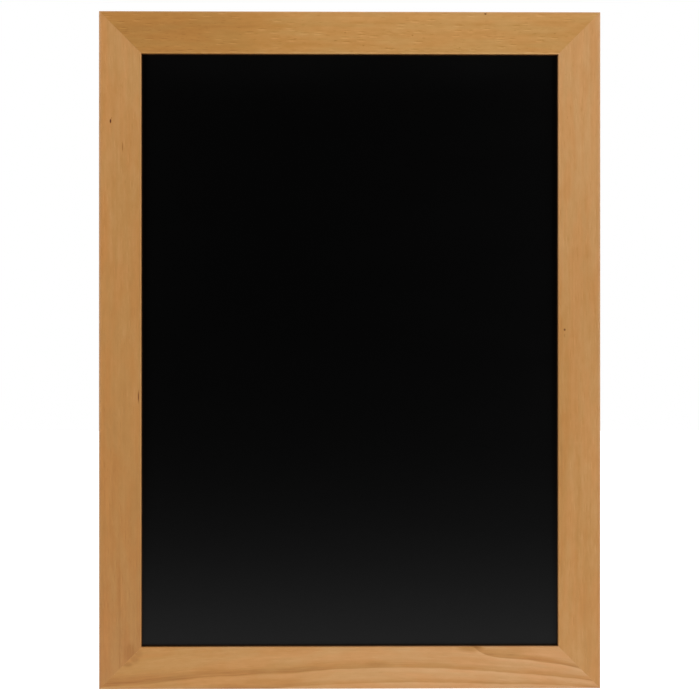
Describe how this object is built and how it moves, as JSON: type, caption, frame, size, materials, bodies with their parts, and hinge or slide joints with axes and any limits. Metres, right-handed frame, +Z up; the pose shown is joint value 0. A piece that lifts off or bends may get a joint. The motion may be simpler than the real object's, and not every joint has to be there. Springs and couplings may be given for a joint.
{
  "type": "wall chalkboard",
  "caption": "Portrait wall chalkboard: a mitred, varnished hardwood frame round a matt black writing sheet, with strap hangers and swinging wire rings on its back.",
  "frame": {"origin": "on the frame's back plane, in the middle of the top rail's flat back", "axes": "+X to the right and +Z up as seen from the front, +Y out of the back towards the wall; the writing side faces -Y"},
  "size_m": [0.502, 0.0226, 0.6781],
  "materials": {
    "varnished_beech": "satin clear varnish over pale beech",
    "black_laminate": "matt black writing laminate",
    "hardboard": "bare brown hardboard",
    "spring_steel": "bare spring steel",
    "zinc_steel": "bright zinc plating",
    "rubber": "black moulded rubber"
  },
  "bodies": {
    "frame": {"top_rail": "varnished_beech", "bottom_rail": "varnished_beech", "left_stile": "varnished_beech", "right_stile": "varnished_beech", "writing_sheet": "black_laminate", "backing_panel": "hardboard", "v_nail_bottom_left_outer": "spring_steel", "v_nail_bottom_left_inner": "spring_steel", "v_nail_top_left_outer": "spring_steel", "v_nail_top_left_inner": "spring_steel", "v_nail_top_right_outer": "spring_steel", "v_nail_top_right_inner": "spring_steel", "v_nail_bottom_right_outer": "spring_steel", "v_nail_bottom_right_inner": "spring_steel", "panel_point_bottom_rail_1": "spring_steel", "panel_point_bottom_rail_2": "spring_steel", "panel_point_left_stile_1": "spring_steel", "panel_point_left_stile_2": "spring_steel", "panel_point_left_stile_3": "spring_steel", "panel_point_top_rail_1": "spring_steel", "panel_point_top_rail_2": "spring_steel", "panel_point_right_stile_1": "spring_steel", "panel_point_right_stile_2": "spring_steel", "panel_point_right_stile_3": "spring_steel", "hanger_strap_left": "zinc_steel", "hanger_strap_right": "zinc_steel", "hanger_screw_left_upper": "zinc_steel", "hanger_screw_left_lower": "zinc_steel", "hanger_screw_right_upper": "zinc_steel", "hanger_screw_right_lower": "zinc_steel", "bumper_left": "rubber", "bumper_right": "rubber"},
    "left_ring": {"d_ring_left": "zinc_steel"},
    "right_ring": {"d_ring_right": "zinc_steel"}
  },
  "joints": [
    {"name": "left_ring_swing", "type": "hinge", "parent": "frame", "child": "left_ring", "pos_m": [-0.23325, 0.0023, -0.10225], "axis": [1, 0, 0], "range_deg": [0, 178]},
    {"name": "right_ring_swing", "type": "hinge", "parent": "frame", "child": "right_ring", "pos_m": [0.23325, 0.0023, -0.10225], "axis": [1, 0, 0], "range_deg": [0, 178]}
  ]
}
